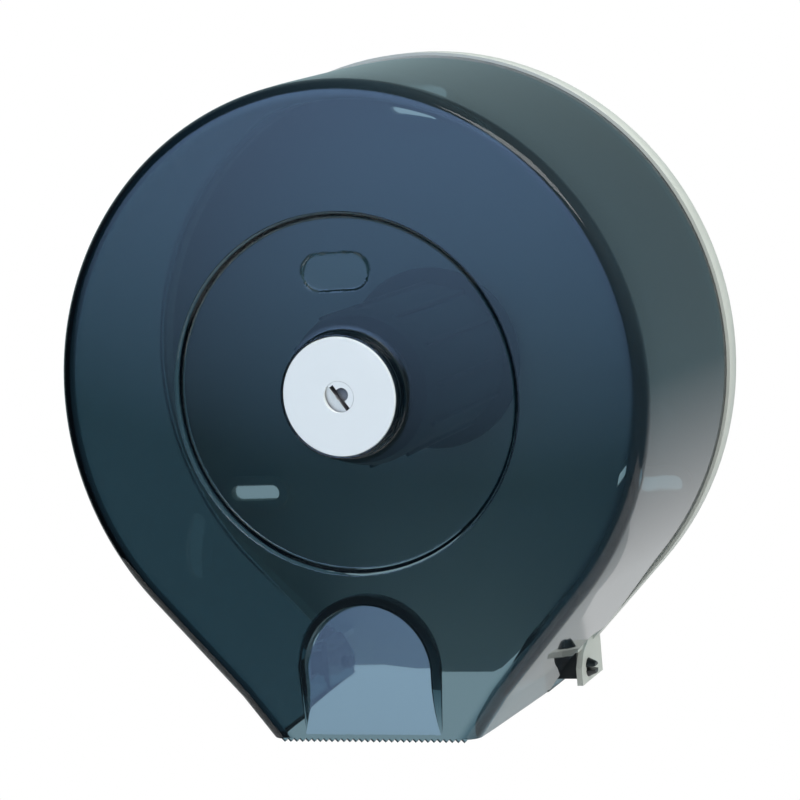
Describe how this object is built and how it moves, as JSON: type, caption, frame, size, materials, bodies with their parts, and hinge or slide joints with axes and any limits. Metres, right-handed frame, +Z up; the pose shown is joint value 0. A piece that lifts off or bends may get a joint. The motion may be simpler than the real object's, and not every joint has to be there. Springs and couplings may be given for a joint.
{
  "type": "jumbo toilet roll dispenser",
  "caption": "Wall-mounted jumbo roll dispenser: light back plate, smoked hinged drum cover with toothed tear edge, turning core hub and central key lock.",
  "frame": {"origin": "on the wall plane at the drum axis", "axes": "X to the right as seen from the front, Y from the front towards the wall, Z up; the front panel faces -Y"},
  "size_m": [0.27, 0.1255, 0.2813],
  "materials": {
    "plate_grey": "fine satin",
    "hub_white": "satin",
    "zinc": "zinc plated",
    "smoked_cover": "clear gloss",
    "lock_white": "satin gloss",
    "nickel": "nickel plated",
    "plug_white": "satin gloss",
    "spring_steel": "bright",
    "cam_steel": "zinc plated",
    "hinge_black": "satin"
  },
  "bodies": {
    "wall_unit": {"back_plate": "plate_grey", "spindle": "hub_white", "spindle_screws": "zinc", "hub_cap": "hub_white", "cap_screws": "zinc", "hinge_block_left": "hinge_black", "hinge_block_right": "hinge_black"},
    "core_hub": {"core_hub": "hub_white"},
    "cover": {"front_cover": "smoked_cover", "lock_body": "lock_white", "lock_nut": "nickel"},
    "lock_plug": {"lock_plug": "plug_white", "plug_clip": "spring_steel", "lock_cam": "cam_steel", "cam_screw": "zinc"}
  },
  "joints": [
    {"name": "cover_hinge", "type": "hinge", "parent": "wall_unit", "child": "cover", "pos_m": [0, -0.02, -0.1385], "axis": [1, 0, 0], "range_deg": [0, 95]},
    {"name": "hub_spin", "type": "hinge", "parent": "wall_unit", "child": "core_hub", "pos_m": [0, -0.055, 0], "axis": [0, 1, 0], "continuous": true},
    {"name": "lock_turn", "type": "hinge", "parent": "cover", "child": "lock_plug", "pos_m": [0, -0.115, 0], "axis": [0, 1, 0], "range_deg": [0, 90]}
  ]
}
